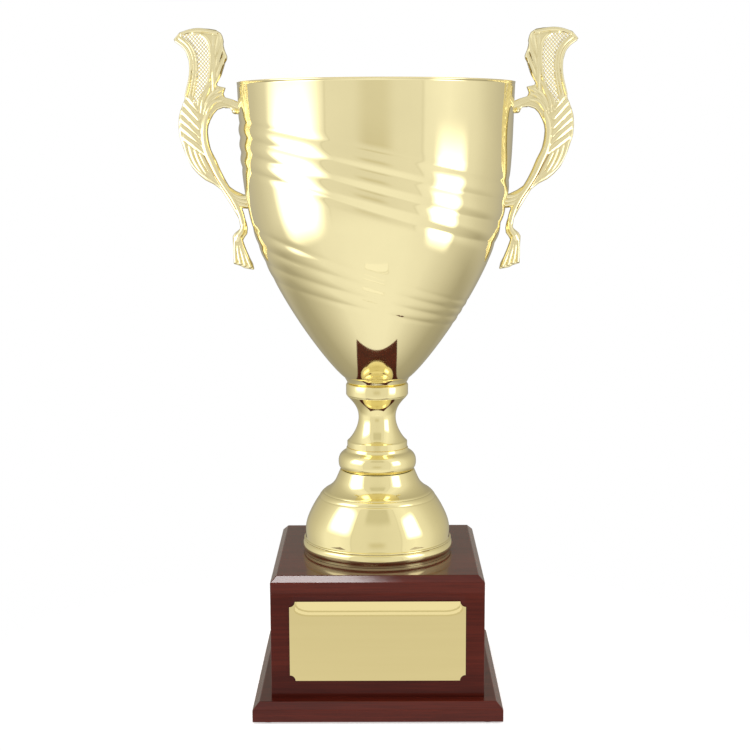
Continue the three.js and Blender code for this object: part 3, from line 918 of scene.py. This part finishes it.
for side, name in ((1, "right"), (-1, "left")):
    handle = copy_of(casting)
    handle.scale.x = side
    settle(handle, "handle")
    if side < 0:
        pick(handle, "FACE", lambda centre, normal: True)
        bpy.ops.mesh.select_all(action="SELECT")
        bpy.ops.mesh.normals_make_consistent(inside=False)
        bpy.ops.object.mode_set(mode="OBJECT")
    trim = copy_of(bowl_form)
    bore(handle, trim)
    bpy.context.view_layer.objects.active = handle
    handle.select_set(True)
    bpy.ops.object.shade_smooth_by_angle(angle=math.radians(50))
    places = np.array([vertex.co for vertex in handle.data.vertices]) / MM
    x, y, z = abs(places[:, 0]), abs(places[:, 1]), places[:, 2]
    left_edge = np.interp(z, [p[1] for p in left_of_net], [p[0] for p in left_of_net])
    right_edge = np.interp(z, [p[1] for p in right_of_net], [p[0] for p in right_of_net])
    inside = (x > left_edge + 0.7) & (x < right_edge - 0.6) & (z > 436) & (z < 485) & (y > BODY - 1)
    # Points close to the groove's line are marked for the painted groove shadow.
    middle = np.interp(z, [p[1] for p in groove_shadow_line[::-1]], [p[0] for p in groove_shadow_line[::-1]])
    on_groove_shadow_line = (abs(x - middle) < 0.6) & (z < groove_shadow_line[0][1]) & (z > groove_shadow_line[-1][1]) & (y > 1)
    for mark, where in (("net", inside), ("groove_shadow_line", on_groove_shadow_line)):
        marks = handle.data.attributes.new(mark, "FLOAT", "POINT")
        marks.data.foreach_set("value", where.astype(np.float32))
    handle.data.materials.clear()
    handle.data.materials.append(castgold)
    stand_for(handle, f"cast_handle_{name}", "cast_gilt", f"handle_{name}")
bpy.data.objects.remove(casting)
bpy.data.objects.remove(bowl_form)


# ---- Handle screws ------------------------------------------------------------------------
# Each handle is held by two machine screws from inside the cup, over small washers. They are
# zinc plated, with low round heads and a hexagon socket.

HEAD_HEIGHT = 2.2
HEAD_RADIUS = 3.6
KEY = 1.35
for side_name, side in (("right", 1), ("left", -1)):
    for level in ("upper", "lower"):
        low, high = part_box(f"handle_washer_{level}_{side_name}")
        middle = (low + high) / 2
        thick = 0.8
        tilt = math.asin(((high.x - low.x) / MM - thick) / ((high.z - low.z) / MM))
        outer = (high.y - low.y) / 2 / MM
        washer = turn("washer", [
            (2.1, -thick / 2), (outer - 0.2, -thick / 2), (outer, 0.2 - thick / 2), (outer, thick / 2 - 0.1),
            (outer - 0.1, thick / 2), (2.1, thick / 2), (2.1, -thick / 2),
        ], 48)
        seat = -thick / 2
        shank = 1.8
        threads = []
        z = 1.0
        while z < 11.4:
            threads += [(shank - 0.3, z), (shank, z + 0.3)]
            z += 0.6
        dome_of_head = [(HEAD_RADIUS * math.sin(a), seat - 0.5 - (HEAD_HEIGHT - 0.5) * math.cos(a))
                        for a in np.linspace(0.45, math.pi / 2, 8)]
        screw = turn("screw", [
            (0, seat - HEAD_HEIGHT + 0.05), *dome_of_head, (HEAD_RADIUS, seat), (shank, seat), (shank, 0.6),
            *threads, (shank - 0.6, 12.6), (0, 12.8),
        ], 48)
        bpy.ops.mesh.primitive_cylinder_add(
            vertices=6, radius=KEY * MM, depth=2.6 * MM, location=(0, 0, (seat - HEAD_HEIGHT) * MM)
        )
        bore(screw, settle(bpy.context.object, "key"))
        for piece, kind in ((washer, "washer"), (screw, "screw")):
            piece.rotation_euler = (0, side * (math.pi / 2 + tilt), 0)
            piece.location = middle
            piece.data.materials.clear()
            piece.data.materials.append(zinc)
            cad_name = f"handle_{kind}_{level}_{side_name}"
            stand_for(piece, f"{level}_{side_name}_{kind}", "zinc_steel", cad_name)


# ---- Studio -------------------------------------------------------------------------------
# A pale table in a white tent. A tall soft lamp stands close by at each side, a small one for
# the lacquer hangs high in front, and a pale card lies on the table before the plinth.

FLOOR = 3.0
bpy.ops.mesh.primitive_circle_add(vertices=96, radius=FLOOR, fill_type="NGON", location=(0, 0, 0))
table = settle(bpy.context.object, "pale_table")
paper, tree, surface = shader("pale_table_top")
tree.links.new(ramp(tree, spots(tree, 6, 3), [(0.3, (0.9, 0.9, 0.9)), (0.7, (0.93, 0.93, 0.93))]),
               surface.inputs["Base Color"])
surface.inputs["Roughness"].default_value = 0.9
surface.inputs["Emission Color"].default_value = (1, 1, 1, 1)
surface.inputs["Emission Strength"].default_value = 0.55
place = node(tree, "ShaderNodeTexCoord").outputs["Object"]
away = node(tree, "ShaderNodeVectorMath", {0: place}, operation="LENGTH").outputs["Value"]
fade = node(
    tree,
    "ShaderNodeMapRange",
    {"Value": away, "From Min": 0.13, "From Max": 0.34, "To Min": 1.0, "To Max": 0.0},
    interpolation_type="SMOOTHSTEP",
)
tree.links.new(fade.outputs["Result"], surface.inputs["Alpha"])
table.data.materials.append(paper)
table.visible_glossy = False


def glow(name, tone):
    """A stage material that is just as bright as its tone says."""
    material, tree, surface = shader(name)
    surface.inputs["Base Color"].default_value = (0, 0, 0, 1)
    surface.inputs["Specular IOR Level"].default_value = 0.0
    surface.inputs["Emission Color"].default_value = (*tone, 1)
    surface.inputs["Emission Strength"].default_value = 1.0
    return material


# The card is a stack of four, each a little further back, so that its edge has a double line.
# It shows in reflections only, as the nameplate's does.
CARD_NEAR, CARD_FAR = 0.307, 0.365
CARD_CORNER = 0.02
for name, tone in (("card_light", (1.06, 1.06, 1.06)), ("card_dark", (0.76, 0.73, 0.64))):
    glow(name, tone)
for i, (setback, tone) in enumerate(((0, "dark"), (0.0035, "light"), (0.011, "dark"), (0.0145, "light"))):
    middle = (CARD_NEAR + setback + CARD_FAR) / 2
    bpy.ops.mesh.primitive_plane_add(size=1, location=(0, -middle, (2 + 0.2 * i) * MM))
    card = bpy.context.object
    card.scale = (0.16 - i * 0.0015, CARD_FAR - CARD_NEAR - setback, 1)
    settle(card, f"pale_card_{i + 1}")
    pick(card, "VERT", lambda co: co.y > -CARD_NEAR - CARD_CORNER)
    bpy.ops.mesh.bevel(offset=CARD_CORNER, segments=8, affect="VERTICES")
    bpy.ops.object.mode_set(mode="OBJECT")
    card.data.materials.append(bpy.data.materials[f"card_{tone}"])
    card.visible_camera = False
    card.visible_diffuse = False
    card.visible_shadow = False

studio = bpy.data.worlds.new("white_tent")
bpy.context.scene.world = studio
studio.use_nodes = True
tree = studio.node_tree
background = tree.nodes["Background"]


def maths(tree, operation, a, b=0.0):
    """The result of one sum on two values, which are numbers or sockets."""
    return node(tree, "ShaderNodeMath", {0: a, 1: b}, operation=operation).outputs[0]


def step(tree, value, start, end):
    """Goes smoothly from 0 to 1 as the value goes from start to end, whichever is the larger."""
    low, high, first, last = (start, end, 0.0, 1.0) if start < end else (end, start, 1.0, 0.0)
    made = node(
        tree,
        "ShaderNodeMapRange",
        {"Value": value, "From Min": low, "From Max": high, "To Min": first, "To Max": last},
        interpolation_type="SMOOTHSTEP",
    )
    return made.outputs["Result"]


def mixed(tree, factor, a, b):
    """One colour, and another where the factor is 1."""
    made = node(tree, "ShaderNodeMix", {0: factor, 6: a, 7: b}, data_type="RGBA")
    return made.outputs[2]


def tones(bearings):
    """A colour ramp round the tent from (bearing in degrees, brightness); the darker, the warmer."""
    stops = []
    for angle, bright in bearings:
        warm = min(1.0, bright) ** 0.35
        color = (bright, bright * (0.8 + 0.2 * warm), bright * (0.3 + 0.7 * warm))
        stops.append(((angle + 180) / 360, color))
    return ramp(tree, maths(tree, "DIVIDE", maths(tree, "ADD", bearing, 180.0), 360.0), stops)


def band(tree, value, start, end, soft):
    """1 where the value is between start and end, and 0 outside, going over softly."""
    inside = step(tree, value, start - soft, start + soft)
    return maths(tree, "MULTIPLY", inside, step(tree, value, end + soft, end - soft))


def patch(left, right, low, high, soft):
    """1 inside a patch of the tent between two bearings and two heights in degrees, and 0 outside."""
    across = band(tree, bearing, left, right, soft)
    return maths(tree, "MULTIPLY", across, band(tree, height, low, high, soft))


direction = node(tree, "ShaderNodeTexCoord").outputs["Generated"]
axes = node(tree, "ShaderNodeSeparateXYZ", {0: direction})
to_front = maths(tree, "MULTIPLY", axes.outputs["Y"], -1.0)
bearing = maths(tree, "DEGREES", maths(tree, "ARCTAN2", axes.outputs["X"], to_front))
height = maths(tree, "DEGREES", maths(tree, "ARCSINE", axes.outputs["Z"]))
walls = tones([
    (-180, 0.34), (-160, 0.42), (-150, 0.52), (-135, 0.58), (-120, 0.66), (-105, 0.8), (-90, 1.0),
    (-65, 1.08), (-44, 0.97), (-42.5, 0.76), (-41, 0.86), (0, 0.82), (37, 0.87), (38.5, 0.78), (40, 0.95),
    (62, 1.04), (90, 0.87), (105, 0.73), (120, 0.64), (135, 0.57), (150, 0.5), (160, 0.42), (180, 0.34),
])
table_top = tones([
    (-180, 0.3), (-120, 0.45), (-90, 0.68), (-60, 0.92), (-30, 0.98), (0, 0.99), (30, 0.98), (60, 0.9),
    (90, 0.7), (120, 0.45), (180, 0.3),
])
light = mixed(tree, step(tree, height, -16, -32), walls, table_top)
overhead = mixed(tree, step(tree, height, 62, 80), light, (0.95, 0.95, 0.93, 1))
light = mixed(tree, patch(-24, 25, 38, 60, 5), overhead, (0.68, 0.665, 0.6, 1))
light = mixed(tree, patch(-13, 11, -13, -1, 7), light, (0.7, 0.67, 0.58, 1))
seen = node(tree, "ShaderNodeLightPath").outputs["Is Camera Ray"]
tree.links.new(mixed(tree, seen, light, (1, 1, 1, 1)), background.inputs["Color"])
background.inputs["Strength"].default_value = 1.0


def soft_lamp(name, place, aim, width, tall, bright, edge):
    """A rectangular lamp that faces a point, as bright as its number, fading towards its edges."""
    bpy.ops.object.light_add(type="AREA", location=place)
    lamp = bpy.context.object
    lamp.name = name
    lamp.rotation_euler = (Vector(aim) - Vector(place)).to_track_quat("-Z", "Y").to_euler()
    lamp.data.shape = "RECTANGLE"
    lamp.data.size = width
    lamp.data.size_y = tall
    lamp.data.energy = bright * math.pi * width * tall
    lamp.visible_camera = False
    lamp.data.use_nodes = True
    tree = lamp.data.node_tree
    emission = tree.nodes["Emission"]
    across = node(tree, "ShaderNodeNewGeometry").outputs["Parametric"]
    parts = node(tree, "ShaderNodeSeparateXYZ", {0: across})
    side, upright = (
        maths(tree, "MULTIPLY", step(tree, part, 0.0, edge), step(tree, part, 1.0, 1.0 - edge))
        for part in (parts.outputs["X"], parts.outputs["Y"])
    )
    tree.links.new(maths(tree, "MULTIPLY", side, upright), emission.inputs["Strength"])
    return lamp


soft_lamp("left_lamp", (-0.285, -0.145, 0.325), (0, -0.03, 0.3), 0.31, 0.34, 2.3, 0.34)
soft_lamp("right_lamp", (0.29, -0.19, 0.27), (0, -0.03, 0.27), 0.2, 0.3, 2.3, 0.3)
high_lamp = soft_lamp("high_lamp", (-0.1, -0.28, 0.8), (0, 0, 0.1), 0.3, 0.09, 24.0, 0.3)
high_lamp.visible_diffuse = False
lacquered = bpy.data.collections.new("lit_by_high_lamp")
lacquered.objects.link(top)
lacquered.objects.link(base)
high_lamp.light_linking.receiver_collection = lacquered

bpy.ops.object.camera_add(location=(2.65 * MM, -1115.66 * MM, 407.2 * MM))
camera = bpy.context.object
PITCH, YAW, ROLL = -8.681, 0.213, -0.206
camera.rotation_mode = "QUATERNION"
camera.rotation_quaternion = (
    Quaternion((0, 0, 1), math.radians(YAW))
    @ Quaternion((1, 0, 0), math.radians(90 + PITCH))
    @ Quaternion((0, 0, 1), math.radians(ROLL))
)
camera.data.sensor_width = 36
FOCAL_LENGTHS_PER_WIDTH = 1517.4 / 750
camera.data.lens = FOCAL_LENGTHS_PER_WIDTH * camera.data.sensor_width
camera.data.clip_start = 0.01
bpy.context.scene.camera = camera
bpy.context.scene.view_settings.view_transform = "Standard"
